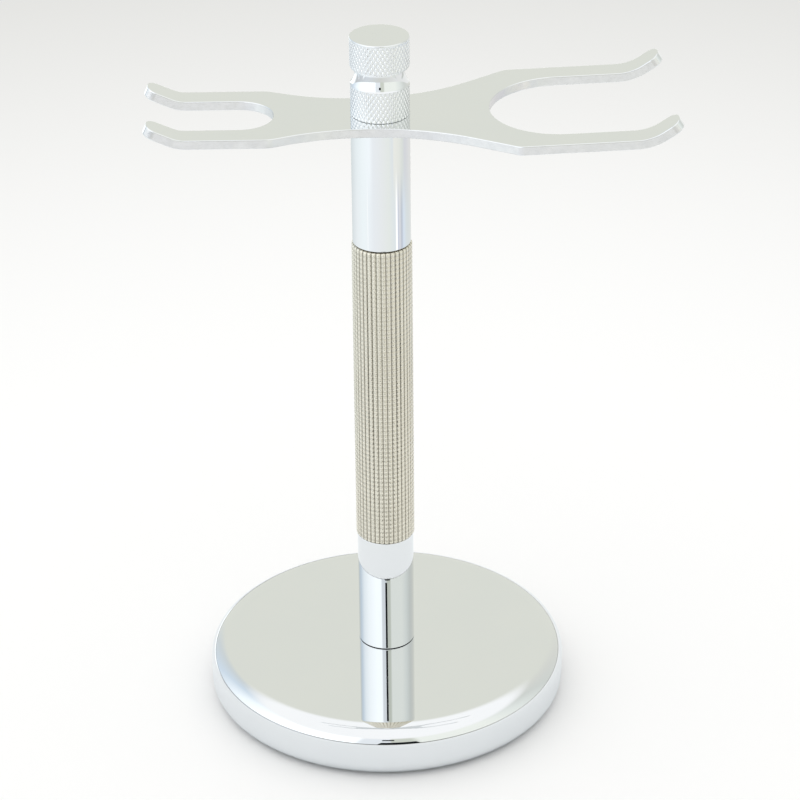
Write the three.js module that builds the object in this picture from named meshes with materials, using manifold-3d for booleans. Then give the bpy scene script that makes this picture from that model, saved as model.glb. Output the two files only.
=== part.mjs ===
// A razor and brush stand: a weighted round base, a column with a knurled grip, and a fork plate with a
// narrow razor slot at one end and a wide brush slot at the other, clamped by a knob that screws down on it.
// Units are millimetres, +Z is up, and +X points along the plate to the brush slot. The origin is on the
// column's axis, level with the underside of the base pad.
import * as THREE from 'three';
import { mergeVertices } from 'three/addons/utils/BufferGeometryUtils.js';
import Module from 'manifold-3d';

const wasm = await Module();
wasm.setup();

// Driving dimensions: base
const BASE_RADIUS = 40;
const BASE_HEIGHT = 11.8;
const LIP_HEIGHT = 0.5;
const LIP_WIDTH = 0.35;
const LOWER_ROUND = 2.8;         // radius between the lip and the upright side
const SHOULDER_WIDTH = 5.2;      // the shoulder is a quarter of an ellipse
const SHOULDER_HEIGHT = 3.6;
const SHELL_THICKNESS = 1.4;
const PAD_RADIUS = 36.5;
const PAD_THICKNESS = 1.3;
const BALLAST_RADIUS = 36.3;

// Driving dimensions: column
const POLE_RADIUS = 6.25;
const TUBE_BORE_RADIUS = 5;
const GRIP_RADIUS = 6.5;
const GRIP_BOTTOM = 39.55;
const GRIP_TOP = 111.3;
const GRIP_CHAMFER = 0.35;
const SHADOW_GAP = 0.25;         // open joint between the grip and the upper tube
const POLE_TOP = 138.6;
const GASKET_THICKNESS = 0.15;
const COUPLER_HALF_LENGTH = 6;
const FOOT_PLUG_LENGTH = 15;
const TOP_PLUG_LENGTH = 18;

// Driving dimensions: fork plate
const PLATE_BOTTOM = 138.9;      // at the column
const PLATE_THICKNESS = 2;
const RAZOR_SLOT_WIDTH = 14.8;
const RAZOR_SLOT_END = -22.3;    // the slot's round inner end
const RAZOR_SHOULDER = -23.3;
const RAZOR_TIP_RISE = 24.5;     // degrees that the prong tips bend up
const RAZOR_TIP_START = 40.5;    // length along the plate, from the column's axis to the bend
const RAZOR_TIP_LENGTH = 9;      // length along the plate, from the bend's start to the end
const RAZOR_TIP_BEND_RADIUS = 8;
const BRUSH_SLOT_WIDTH = 30.2;
const BRUSH_SLOT_END = 22.9;
const BRUSH_SHOULDER = 27.6;
const BRUSH_TIP_RISE = 33.5;
const BRUSH_TIP_START = 51.5;
const BRUSH_TIP_LENGTH = 10.3;
const BRUSH_TIP_BEND_RADIUS = 11;
const PRONG_WIDTH = 5.5;
const WAIST_WIDTH = 16.8;
const RAZOR_FLANK_ANGLE = 23;    // degrees between the plate's length and its flaring sides
const BRUSH_FLANK_ANGLE = 33;
const RAZOR_WAIST_FILLET = 38;
const BRUSH_WAIST_FILLET = 40;
const RAZOR_SHOULDER_FILLET = 6;
const BRUSH_SHOULDER_FILLET = 3;
const TIP_CORNER = 2.3;
const CLAMPED_HALF_LENGTH = 7;   // the plate is flat under the knob, and its arms rise a little beyond
const RAZOR_ARM_RISE = 0.9;      // degrees
const BRUSH_ARM_RISE = 1.5;
const ARM_SWEEP_RADIUS = 450;

// Driving dimensions: knob, heights above its underside
const KNOB_BOTTOM = 140.95;
const COLLAR_RADIUS = 6.25;
const COLLAR_HEIGHT = 6.8;       // the collar's knurled side ends here
const FLARE_HOLLOW = 6.3;        // radius of the hollow curve that joins the collar to the neck
const NECK_RADIUS = 5.15;
const NECK_BOTTOM = 10.18;       // the flare ends in the neck
const NECK_TOP = 10.55;
const CAP_RADIUS = 6.3;
const KNOB_HEIGHT = 17.25;
const KNOB_CHAMFER = 0.25;
const CLAMP_WASHER_BOTTOM = 140.95;
const CLAMP_WASHER_THICKNESS = 0.85;
const CLAMP_WASHER_RADIUS = 4.4;

// Driving dimensions: M5 fasteners
const THREAD_RADIUS = 2.5;
const TAPPED_RADIUS = 2.55;
const CLEARANCE_RADIUS = 2.7;
const FIT_GAP = 0.05;
const HEAD_RADIUS = 4.75;
const HEAD_HEIGHT = 2.75;
const HEX_SOCKET_RADIUS = 1.73;
const HEX_SOCKET_DEPTH = 1.6;
const WASHER_RADIUS = 5;
const WASHER_THICKNESS = 1;
const SPRING_WASHER_RADIUS = 4.6;
const SPRING_WASHER_THICKNESS = 1.3;
const SCREW_WELL_RADIUS = 6.5;
const SCREW_LENGTH = 16;
const STUD_BOTTOM = 130.2;
const STUD_TOP = 152;
const ROD_OVERLAP = 4;           // the tie rod's grip in each tapped plug

// Roundness: flats round a full turn
const BASE_SIDES = 64;
const POLE_SIDES = 40;
const SCREW_SIDES = 24;

// Materials
const finish = (color, roughness, metalness) => new THREE.MeshStandardMaterial({ color, roughness, metalness });
const chrome = () => finish(0xe6e9ea, 0.05, 1);
const satinNickel = () => finish(0xb9b09c, 0.35, 1);
const steel = () => finish(0xa9abad, 0.35, 1);
const brass = () => finish(0xc2a25a, 0.35, 1);
const castIron = () => finish(0x4a4b4d, 0.7, 0.8);
const rubber = () => finish(0x1c1c1d, 0.85, 0);
const nylon = () => finish(0xe8e6df, 0.5, 0);

const point = (x, y) => new THREE.Vector2(x, y);
const radians = THREE.MathUtils.degToRad;

// Points on an ellipse's arc, from one angle to another in degrees, both ends included.
function arc(centreX, centreY, radiusX, radiusY, from, to, steps) {
  const points = [];
  for (let i = 0; i <= steps; i += 1) {
    const angle = radians(from + ((to - from) * i) / steps);
    points.push(point(centreX + radiusX * Math.cos(angle), centreY + radiusY * Math.sin(angle)));
  }
  return points;
}

// A solid turned about the Z axis. The profile is (radius, height), anticlockwise, from axis to axis.
function turned(profile, sides) {
  const geometry = new THREE.LatheGeometry(profile, sides);
  geometry.rotateX(Math.PI / 2);
  return geometry;
}

// The same for a profile that stays off the axis: a ring, which closes on its first point.
function turnedRing(profile, sides) {
  return turned([...profile, profile[0].clone()], sides);
}

function tube(innerRadius, outerRadius, bottom, top, sides) {
  const profile = [
    point(innerRadius, bottom),
    point(outerRadius, bottom),
    point(outerRadius, top),
    point(innerRadius, top),
  ];
  return turnedRing(profile, sides);
}

function disc(radius, bottom, top, sides) {
  return turned([point(0, bottom), point(radius, bottom), point(radius, top), point(0, top)], sides);
}

// A rod with a chamfer as deep as its threads at both ends.
function threadedRod(bottom, top) {
  const chamfer = 0.6;
  const profile = [
    point(0, bottom),
    point(THREAD_RADIUS - chamfer, bottom),
    point(THREAD_RADIUS, bottom + chamfer),
    point(THREAD_RADIUS, top - chamfer),
    point(THREAD_RADIUS - chamfer, top),
    point(0, top),
  ];
  return turned(profile, SCREW_SIDES);
}

function part(name, geometry, material) {
  const mesh = new THREE.Mesh(geometry, material);
  mesh.name = name;
  return mesh;
}

// Solids for joining and cutting
function toSolid(geometry) {
  const bare = geometry.clone();
  bare.deleteAttribute('normal');
  bare.deleteAttribute('uv');
  const merged = mergeVertices(bare);
  const vertProperties = new Float32Array(merged.attributes.position.array);
  const triVerts = new Uint32Array(merged.index.array);
  return new wasm.Manifold(new wasm.Mesh({ numProp: 3, vertProperties, triVerts }));
}

function toGeometry(solid) {
  const mesh = solid.getMesh();
  const geometry = new THREE.BufferGeometry();
  geometry.setAttribute('position', new THREE.BufferAttribute(mesh.vertProperties, 3));
  geometry.setIndex(new THREE.BufferAttribute(mesh.triVerts, 1));
  geometry.computeVertexNormals();
  return geometry;
}

// Base
const WELL_TOP = 6.8;
const washerBottom = WELL_TOP - WASHER_THICKNESS;
const springWasherBottom = washerBottom - SPRING_WASHER_THICKNESS;
const poleBottom = BASE_HEIGHT + GASKET_THICKNESS;

function baseShell() {
  const lipRadius = BASE_RADIUS - LOWER_ROUND;
  const levelRadius = BASE_RADIUS - SHOULDER_WIDTH;
  const shoulderBottom = BASE_HEIGHT - SHOULDER_HEIGHT;
  const lower = arc(lipRadius, LIP_HEIGHT + LOWER_ROUND, LOWER_ROUND, LOWER_ROUND, -90, 0, 6);
  const shoulder = arc(levelRadius, shoulderBottom, SHOULDER_WIDTH, SHOULDER_HEIGHT, 0, 90, 12);
  const ceiling = BASE_HEIGHT - SHELL_THICKNESS;
  const inside = [
    point(CLEARANCE_RADIUS, BASE_HEIGHT),
    point(CLEARANCE_RADIUS, ceiling),
    point(levelRadius, ceiling),
    point(BASE_RADIUS - 2 * SHELL_THICKNESS, shoulderBottom + SHELL_THICKNESS / 2),
    point(BASE_RADIUS - SHELL_THICKNESS, shoulderBottom - SHELL_THICKNESS),
    point(lipRadius - LIP_WIDTH, LIP_HEIGHT),
  ];
  return part('base_shell', turnedRing([...lower, ...shoulder, ...inside], BASE_SIDES), chrome());
}

function ballastDisc() {
  const top = BASE_HEIGHT - SHELL_THICKNESS;
  const bevel = 4;
  const profile = [
    point(SCREW_WELL_RADIUS, PAD_THICKNESS),
    point(BALLAST_RADIUS, PAD_THICKNESS),
    point(BALLAST_RADIUS, top - bevel / 2),
    point(BALLAST_RADIUS - bevel, top),
    point(CLEARANCE_RADIUS, top),
    point(CLEARANCE_RADIUS, WELL_TOP),
    point(SCREW_WELL_RADIUS, WELL_TOP),
  ];
  return part('ballast_disc', turnedRing(profile, BASE_SIDES), castIron());
}

function basePad() {
  return part('base_pad', disc(PAD_RADIUS, 0, PAD_THICKNESS, BASE_SIDES), rubber());
}

function baseScrew() {
  const headBottom = springWasherBottom - HEAD_HEIGHT;
  const screwTop = springWasherBottom + SCREW_LENGTH;
  const headEdge = 0.8;
  const profile = [
    point(0, headBottom),
    point(HEX_SOCKET_RADIUS + headEdge, headBottom),
    point(HEAD_RADIUS - headEdge / 2, headBottom + HEAD_HEIGHT / 2),
    point(HEAD_RADIUS, springWasherBottom - headEdge / 2),
    point(HEAD_RADIUS, springWasherBottom),
    point(THREAD_RADIUS, springWasherBottom),
    point(THREAD_RADIUS, screwTop - headEdge),
    point(THREAD_RADIUS - headEdge, screwTop),
    point(0, screwTop),
  ];
  const socket = new THREE.CylinderGeometry(HEX_SOCKET_RADIUS, HEX_SOCKET_RADIUS, 2 * HEX_SOCKET_DEPTH, 6);
  socket.rotateX(Math.PI / 2);
  socket.translate(0, 0, headBottom);
  const screw = toSolid(turned(profile, SCREW_SIDES)).subtract(toSolid(socket));
  return part('base_screw', toGeometry(screw), steel());
}

function baseWasher() {
  return part('base_washer', tube(CLEARANCE_RADIUS, WASHER_RADIUS, washerBottom, WELL_TOP, SCREW_SIDES), steel());
}

// A split ring: its gap is a twentieth of a turn wide.
function baseSpringWasher() {
  const splitAngle = radians(9);
  const ring = new THREE.Shape();
  ring.absarc(0, 0, SPRING_WASHER_RADIUS, splitAngle, 2 * Math.PI - splitAngle, false);
  ring.absarc(0, 0, CLEARANCE_RADIUS, 2 * Math.PI - splitAngle, splitAngle, true);
  const options = { depth: SPRING_WASHER_THICKNESS, bevelEnabled: false, curveSegments: SCREW_SIDES };
  const geometry = new THREE.ExtrudeGeometry(ring, options);
  geometry.translate(0, 0, springWasherBottom);
  return part('base_spring_washer', geometry, steel());
}

function footGasket() {
  const radius = POLE_RADIUS - 0.3;
  return part('foot_gasket', tube(CLEARANCE_RADIUS, radius, BASE_HEIGHT, poleBottom, POLE_SIDES), rubber());
}

// Column
const plugRadius = TUBE_BORE_RADIUS - FIT_GAP;
const upperPoleBottom = GRIP_TOP + SHADOW_GAP;

function lowerPole() {
  return part('lower_pole', tube(TUBE_BORE_RADIUS, POLE_RADIUS, poleBottom, GRIP_BOTTOM, POLE_SIDES), chrome());
}

function footPlug() {
  const top = poleBottom + FOOT_PLUG_LENGTH;
  return part('foot_plug', tube(TAPPED_RADIUS, plugRadius, poleBottom, top, POLE_SIDES), brass());
}

function coupler(name, jointHeight) {
  const bottom = jointHeight - COUPLER_HALF_LENGTH;
  const top = jointHeight + COUPLER_HALF_LENGTH;
  return part(name, tube(TAPPED_RADIUS, plugRadius, bottom, top, POLE_SIDES), brass());
}

function gripSleeve() {
  const profile = [
    point(TUBE_BORE_RADIUS, GRIP_BOTTOM),
    point(GRIP_RADIUS - GRIP_CHAMFER, GRIP_BOTTOM),
    point(GRIP_RADIUS, GRIP_BOTTOM + GRIP_CHAMFER),
    point(GRIP_RADIUS, GRIP_TOP - GRIP_CHAMFER),
    point(GRIP_RADIUS - GRIP_CHAMFER, GRIP_TOP),
    point(TUBE_BORE_RADIUS, GRIP_TOP),
  ];
  return part('grip_sleeve', turnedRing(profile, POLE_SIDES), satinNickel());
}

function upperPole() {
  return part('upper_pole', tube(TUBE_BORE_RADIUS, POLE_RADIUS, upperPoleBottom, POLE_TOP, POLE_SIDES), chrome());
}

function topPlug() {
  const bottom = POLE_TOP - TOP_PLUG_LENGTH;
  return part('top_plug', tube(TAPPED_RADIUS, plugRadius, bottom, POLE_TOP, POLE_SIDES), brass());
}

function tieRod() {
  const bottom = poleBottom + FOOT_PLUG_LENGTH - ROD_OVERLAP;
  const top = POLE_TOP - TOP_PLUG_LENGTH + ROD_OVERLAP;
  return part('tie_rod', threadedRod(bottom, top), steel());
}

function plateWasher() {
  const top = PLATE_BOTTOM - FIT_GAP;
  return part('plate_washer', tube(CLEARANCE_RADIUS, POLE_RADIUS - 0.3, POLE_TOP, top, POLE_SIDES), nylon());
}

// Fork plate: a bent strip, cut to its outline seen from above.

// The strip's centre line on one arm: places along it, each with its heading in radians.
function armLine(armRise, tipStart, tipLength, tipRise, bendRadius) {
  const line = [{ x: 0, z: 0, heading: 0 }];
  const forward = (length) => {
    const { x, z, heading } = line.at(-1);
    line.push({ x: x + length * Math.cos(heading), z: z + length * Math.sin(heading), heading });
  };
  const turn = (radius, angle, steps) => {
    for (let i = 0; i < steps; i += 1) {
      line.at(-1).heading += angle / steps / 2;
      forward((radius * angle) / steps);
      line.at(-1).heading += angle / steps / 2;
    }
  };
  const sweep = radians(armRise);
  const bend = radians(tipRise) - sweep;
  forward(CLAMPED_HALF_LENGTH);
  turn(ARM_SWEEP_RADIUS, sweep, 3);
  forward(tipStart - CLAMPED_HALF_LENGTH - ARM_SWEEP_RADIUS * sweep);
  turn(bendRadius, bend, 8);
  forward(tipLength - bendRadius * bend);
  return line;
}

// One side of the strip, half its thickness above or below the centre line.
function offsetLine(line, offset) {
  return line.map(({ x, z, heading }) => point(x - offset * Math.sin(heading), z + offset * Math.cos(heading)));
}

const plateMiddle = PLATE_BOTTOM + PLATE_THICKNESS / 2;
const razorLine = armLine(
  RAZOR_ARM_RISE, RAZOR_TIP_START, RAZOR_TIP_LENGTH, RAZOR_TIP_RISE, RAZOR_TIP_BEND_RADIUS);
const brushLine = armLine(
  BRUSH_ARM_RISE, BRUSH_TIP_START, BRUSH_TIP_LENGTH, BRUSH_TIP_RISE, BRUSH_TIP_BEND_RADIUS);

function bentStrip(width) {
  const half = PLATE_THICKNESS / 2;
  const mirrored = (points) => points.map((p) => point(-p.x, p.y));
  const outline = [
    ...offsetLine(brushLine, -half).slice(1),
    ...offsetLine(brushLine, half).slice(1).reverse(),
    ...mirrored(offsetLine(razorLine, half)).slice(1),
    ...mirrored(offsetLine(razorLine, -half)).slice(1).reverse(),
  ];
  const geometry = new THREE.ExtrudeGeometry(new THREE.Shape(outline), { depth: width, bevelEnabled: false });
  geometry.translate(0, 0, -width / 2);
  geometry.rotateX(Math.PI / 2);
  geometry.translate(0, 0, plateMiddle);
  return geometry;
}

// A polygon whose corners are rounded: each corner is { x, y, radius }, and a radius of 0 keeps it sharp.
function roundedOutline(corners) {
  const points = [];
  corners.forEach((corner, i) => {
    const here = point(corner.x, corner.y);
    const before = corners.at(i - 1);
    const after = corners[(i + 1) % corners.length];
    const back = point(before.x, before.y).sub(here).normalize();
    const ahead = point(after.x, after.y).sub(here).normalize();
    const turnAngle = Math.PI - Math.acos(back.dot(ahead));
    const reach = corner.radius * Math.tan(turnAngle / 2);
    const start = here.clone().addScaledVector(back, reach);
    const side = Math.sign(back.cross(ahead)) || 1;
    const centre = start.clone().add(point(back.y, -back.x).multiplyScalar(-side * corner.radius));
    const from = Math.atan2(start.y - centre.y, start.x - centre.x);
    const steps = Math.max(2, Math.ceil(turnAngle / radians(7.5)));
    for (let k = 0; k <= steps; k += 1) {
      const angle = from - (side * turnAngle * k) / steps;
      const next = point(centre.x + corner.radius * Math.cos(angle), centre.y + corner.radius * Math.sin(angle));
      points.push(next);
    }
  });
  return points.filter((next, i) => next.distanceTo(points.at(i - 1)) > 0.01);
}

// The outline's corners for y > 0, from the razor slot's end round the outside to the brush slot's end.
function outlineCorners() {
  const razorHalf = RAZOR_SLOT_WIDTH / 2;
  const brushHalf = BRUSH_SLOT_WIDTH / 2;
  const razorOuter = razorHalf + PRONG_WIDTH;
  const brushOuter = brushHalf + PRONG_WIDTH;
  const waistHalf = WAIST_WIDTH / 2;
  const razorWaist = RAZOR_SHOULDER + (razorOuter - waistHalf) / Math.tan(radians(RAZOR_FLANK_ANGLE));
  const brushWaist = BRUSH_SHOULDER - (brushOuter - waistHalf) / Math.tan(radians(BRUSH_FLANK_ANGLE));
  const pastTips = 70;
  return [
    { x: RAZOR_SLOT_END, y: razorHalf, radius: razorHalf },
    { x: -pastTips, y: razorHalf, radius: 0 },
    { x: -pastTips, y: razorOuter, radius: 0 },
    { x: RAZOR_SHOULDER, y: razorOuter, radius: RAZOR_SHOULDER_FILLET },
    { x: razorWaist, y: waistHalf, radius: RAZOR_WAIST_FILLET },
    { x: brushWaist, y: waistHalf, radius: BRUSH_WAIST_FILLET },
    { x: BRUSH_SHOULDER, y: brushOuter, radius: BRUSH_SHOULDER_FILLET },
    { x: pastTips, y: brushOuter, radius: 0 },
    { x: pastTips, y: brushHalf, radius: 0 },
    { x: BRUSH_SLOT_END, y: brushHalf, radius: brushHalf },
  ];
}

function outlinePrism() {
  const corners = outlineCorners();
  const otherHalf = corners.map(({ x, y, radius }) => ({ x, y: -y, radius })).reverse();
  const outline = new THREE.Shape(roundedOutline([...corners, ...otherHalf]));
  const hole = arc(0, 0, CLEARANCE_RADIUS, CLEARANCE_RADIUS, 0, 360, SCREW_SIDES).slice(1);
  outline.holes.push(new THREE.Path(hole));
  const height = 20;
  const geometry = new THREE.ExtrudeGeometry(outline, { depth: height, bevelEnabled: false });
  geometry.translate(0, 0, plateMiddle - height / 2);
  return geometry;
}

// What rounding one corner of a prong's end takes away, in the bent tip's own plane. The end is at x = 0.
function cornerCutter() {
  const proud = 0.5;
  const cutter = new THREE.Shape([
    point(proud, proud),
    point(-TIP_CORNER, proud),
    ...arc(-TIP_CORNER, -TIP_CORNER, TIP_CORNER, TIP_CORNER, 90, 0, 5),
    point(proud, -TIP_CORNER),
  ].reverse());
  const height = 3 * PLATE_THICKNESS;
  const geometry = new THREE.ExtrudeGeometry(cutter, { depth: height, bevelEnabled: false });
  geometry.translate(0, 0, -height / 2);
  return geometry;
}

function forkPlate() {
  const arms = [
    { line: brushLine, along: 1, edges: [BRUSH_SLOT_WIDTH / 2, BRUSH_SLOT_WIDTH / 2 + PRONG_WIDTH] },
    { line: razorLine, along: -1, edges: [RAZOR_SLOT_WIDTH / 2, RAZOR_SLOT_WIDTH / 2 + PRONG_WIDTH] },
  ];
  const stripWidth = BRUSH_SLOT_WIDTH + 2 * PRONG_WIDTH + 4;
  let plate = toSolid(bentStrip(stripWidth)).intersect(toSolid(outlinePrism()));
  for (const { line, along, edges } of arms) {
    const tip = line.at(-1);
    const placed = new THREE.Matrix4()
      .makeTranslation(0, 0, plateMiddle)
      .multiply(new THREE.Matrix4().makeRotationZ(along > 0 ? 0 : Math.PI))
      .multiply(new THREE.Matrix4().makeTranslation(tip.x, 0, tip.z))
      .multiply(new THREE.Matrix4().makeRotationY(-tip.heading));
    const [inner, outer] = edges;
    for (const [y, turns] of [[outer, 0], [inner, 1], [-inner, 0], [-outer, 1]]) {
      const cutter = cornerCutter();
      if (turns === 1) cutter.rotateX(Math.PI);
      cutter.translate(0, y, 0);
      cutter.applyMatrix4(placed);
      plate = plate.subtract(toSolid(cutter));
    }
  }
  return part('fork_plate', toGeometry(plate), chrome());
}

// Clamp
function clampWasher() {
  const top = CLAMP_WASHER_BOTTOM + CLAMP_WASHER_THICKNESS;
  const geometry = tube(CLEARANCE_RADIUS, CLAMP_WASHER_RADIUS, CLAMP_WASHER_BOTTOM, top, SCREW_SIDES);
  return part('clamp_washer', geometry, steel());
}

function knob() {
  const at = (height) => KNOB_BOTTOM + height;
  const recessRadius = CLAMP_WASHER_RADIUS + 0.2;
  const recessTop = CLAMP_WASHER_BOTTOM + CLAMP_WASHER_THICKNESS + FIT_GAP;
  const flareStart = 210;        // degrees round the hollow curve
  const profile = [
    point(recessRadius, at(0)),
    point(COLLAR_RADIUS - KNOB_CHAMFER, at(0)),
    point(COLLAR_RADIUS, at(KNOB_CHAMFER)),
    point(COLLAR_RADIUS, at(COLLAR_HEIGHT)),
    ...arc(NECK_RADIUS + FLARE_HOLLOW, at(NECK_BOTTOM), FLARE_HOLLOW, FLARE_HOLLOW, flareStart, 180, 6),
    point(NECK_RADIUS, at(NECK_TOP)),
    point(CAP_RADIUS - KNOB_CHAMFER, at(NECK_TOP)),
    point(CAP_RADIUS, at(NECK_TOP + KNOB_CHAMFER)),
    point(CAP_RADIUS, at(KNOB_HEIGHT - KNOB_CHAMFER)),
    point(CAP_RADIUS - KNOB_CHAMFER, at(KNOB_HEIGHT)),
    point(0, at(KNOB_HEIGHT)),
    point(0, STUD_TOP + FIT_GAP),
    point(TAPPED_RADIUS, STUD_TOP + FIT_GAP),
    point(TAPPED_RADIUS, recessTop),
    point(recessRadius, recessTop),
  ];
  return part('knob', turnedRing(profile, POLE_SIDES), chrome());
}

function knobStud() {
  return part('knob_stud', threadedRod(STUD_BOTTOM, STUD_TOP), steel());
}

const stand = new THREE.Group();
stand.name = 'razor_stand';
stand.add(baseShell(), ballastDisc(), basePad(), baseScrew(), baseWasher(), baseSpringWasher(), footGasket());
stand.add(lowerPole(), footPlug(), coupler('lower_coupler', GRIP_BOTTOM), gripSleeve());
stand.add(coupler('upper_coupler', GRIP_TOP), upperPole(), topPlug(), tieRod(), plateWasher());
stand.add(forkPlate(), clampWasher(), knob(), knobStud());

export default stand;
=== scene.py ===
import math
from collections import namedtuple

import bmesh
import bpy
import numpy as np
from mathutils import Matrix, Vector
from mathutils.geometry import tessellate_polygon


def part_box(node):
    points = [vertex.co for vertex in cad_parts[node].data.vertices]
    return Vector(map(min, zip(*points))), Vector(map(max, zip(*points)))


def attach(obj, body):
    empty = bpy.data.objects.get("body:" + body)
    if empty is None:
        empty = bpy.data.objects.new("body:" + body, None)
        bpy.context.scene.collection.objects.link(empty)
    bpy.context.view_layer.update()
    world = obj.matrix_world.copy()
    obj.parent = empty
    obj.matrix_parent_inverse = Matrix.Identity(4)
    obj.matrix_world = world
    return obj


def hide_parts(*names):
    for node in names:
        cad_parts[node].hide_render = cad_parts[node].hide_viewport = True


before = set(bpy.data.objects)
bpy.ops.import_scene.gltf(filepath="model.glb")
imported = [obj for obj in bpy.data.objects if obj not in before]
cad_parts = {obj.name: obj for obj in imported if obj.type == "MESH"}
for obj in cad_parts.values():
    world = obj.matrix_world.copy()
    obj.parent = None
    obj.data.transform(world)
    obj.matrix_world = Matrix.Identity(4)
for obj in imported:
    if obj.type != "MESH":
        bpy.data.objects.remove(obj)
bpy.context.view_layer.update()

MM = 0.001
HAIR = 0.001 * MM                 # a distance too small to see

# The photograph's viewpoint
CAMERA_DISTANCE = 597.1 * MM      # from the column's axis, measured level
CAMERA_HEIGHT = 396.6 * MM
CAMERA_SIDE = math.radians(2.35)  # how far round to the left of straight ahead it stands
CAMERA_PITCH = math.radians(28.48)
CAMERA_YAW = math.radians(0.34)   # aims this much to the right of the column's axis
CAMERA_ROLL = math.radians(-0.57)
CAMERA_LENS = 139.5
SENSOR = 36.0

# Shared by several pieces
SCREW_HOLE = 2.7 * MM             # radius, in the base cover and the fork plate
SURFACE_GAP = 0.05 * MM           # kept between a piece and the one it is fitted round

# Base
LIP_WIDTH = 0.35 * MM
LOWER_ROUND = 2.8 * MM            # between the lip and the upright side
SHOULDER_WIDTH = 5.2 * MM         # the shoulder is a quarter of an ellipse
SHOULDER_HEIGHT = 3.6 * MM
SHELL_THICKNESS = 1.4 * MM
SUPPORT = 0.3 * MM                # how far from a round the flat or upright beside it gets an extra ring
BASE_SIDES = 256
PAD_EDGE = 0.4 * MM

# Column
TUBE_BORE = 5 * MM
TUBE_EDGE = 0.12 * MM
POLE_SIDES = 128
GRIP_FLUTES = 38
GRIP_ROW = 1.07 * MM
FLUTE_DEPTH = 0.2 * MM
ROW_DEPTH = 0.13 * MM
SQUARE_FLAT = 0.4                 # share of the way to a cut where its side starts
SQUARE_CROWN = 0.02 * MM
GRIP_CHAMFER = 0.3 * MM
SAMPLES_PER_CUT = 6

# Knob, heights above its underside
UNDERSIDE_EDGE = 0.04 * MM
COLLAR_RADIUS = 6.25 * MM
COLLAR_HEIGHT = 6.8 * MM
FLARE_HOLLOW = 6.3 * MM
NECK_RADIUS = 5.15 * MM
NECK_BOTTOM = 10.18 * MM
NECK_TOP = 10.55 * MM
CAP_CHAMFER = 0.25 * MM
CAP_BAND = 0.45 * MM              # left plain above the cap's knurling
DIAMONDS_ROUND = 40
DIAMOND_LENGTH = 1.56 * MM
DIAMOND_DEPTH = 0.24 * MM
DIAMOND_FLAT = 0.12               # share of the way to a cut where its side starts
SAMPLES_AROUND = 8                # for each diamond
SAMPLES_ALONG = 12
STUD_BORE = 2.55 * MM
RECESS_RADIUS = 4.6 * MM
THREAD_PITCH = 0.8 * MM
THREAD_DEPTH = 0.45 * MM
STUD_POINT = 0.6 * MM
THREAD_SIDES = 48

# Fork plate, laid out flat before its bends
RAZOR_SLOT_WIDTH = 14.8 * MM
RAZOR_SLOT_END = -22.3 * MM
RAZOR_SHOULDER = -23.3 * MM
RAZOR_FLANK = math.radians(23)
BRUSH_SLOT_WIDTH = 30.2 * MM
BRUSH_SLOT_END = 22.9 * MM
BRUSH_SHOULDER = 27.6 * MM
BRUSH_FLANK = math.radians(33)
PRONG_WIDTH = 5.5 * MM
WAIST_WIDTH = 16.8 * MM
PLATE_THICKNESS = 2 * MM
PLATE_EDGE = 0.22 * MM
TIP_CORNER = 2.3 * MM
RAZOR_SHOULDER_ROUND = 6 * MM
BRUSH_SHOULDER_ROUND = 3 * MM
RAZOR_WAIST_ROUND = 38 * MM
BRUSH_WAIST_ROUND = 40 * MM
ARC_STEP = math.radians(3)
CLOSEST_POINTS = 0.005 * MM
HOLE_SIDES = 48
SMALLEST_EDGE_FACE = 0.02 * MM * MM    # smaller ones belong to the broken edges, and stay polished
CLAMPED_HALF_LENGTH = 7 * MM
ARM_SWEEP_RADIUS = 450 * MM
Arm = namedtuple("Arm", "rise tip_start tip_length tip_rise bend_radius")
RAZOR_ARM = Arm(math.radians(0.9), 40.5 * MM, 9 * MM, math.radians(24.5), 8 * MM)
BRUSH_ARM = Arm(math.radians(1.5), 51.5 * MM, 10.3 * MM, math.radians(33.5), 11 * MM)

# What the chrome mirrors, by bearing in degrees
OVERHEAD = (1.0, 1.01, 1.02, 1)
SOFTBOX = (1.27, 1.32, 1.35, 1)
WALL_BACK = (0.743, 0.757, 0.695, 1)
GAP_LEFT = (0.84, 0.88, 0.92, 1)
GAP_RIGHT = (0.64, 0.67, 0.60, 1)
WALL_RIGHT = (0.91, 0.94, 0.89, 1)
WALLS = (
    (-160, WALL_BACK), (-150, (0.64, 0.69, 0.71, 1)), (-132, (0.66, 0.76, 0.86, 1)),
    (-108, (0.98, 1.05, 1.1, 1)), (-80, (1.16, 1.21, 1.24, 1)), (-45, SOFTBOX), (-24, SOFTBOX),
    (-19, GAP_LEFT), (-1, GAP_LEFT), (0, GAP_RIGHT), (13, GAP_RIGHT), (18, WALL_RIGHT), (64, WALL_RIGHT),
    (88, (0.80, 0.84, 0.81, 1)), (112, (0.66, 0.69, 0.66, 1)), (135, (0.70, 0.71, 0.67, 1)), (150, WALL_BACK),
)
TABLE_FAR = (
    (-170, (0.66, 0.70, 0.70, 1)), (-150, (0.70, 0.755, 0.77, 1)), (-112, (0.85, 0.91, 0.93, 1)),
    (-80, (0.92, 0.98, 1.0, 1)), (-48, (0.96, 1.01, 1.04, 1)), (-33, (0.87, 0.90, 0.93, 1)),
    (0, (0.86, 0.88, 0.885, 1)), (28, (0.84, 0.87, 0.84, 1)), (44, (0.79, 0.83, 0.85, 1)),
    (50, (0.88, 0.88, 0.83, 1)), (72, (0.84, 0.85, 0.80, 1)), (88, (0.76, 0.79, 0.75, 1)),
    (104, (0.71, 0.72, 0.75, 1)), (135, (0.76, 0.76, 0.76, 1)), (170, (0.70, 0.70, 0.68, 1)),
)
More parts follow.
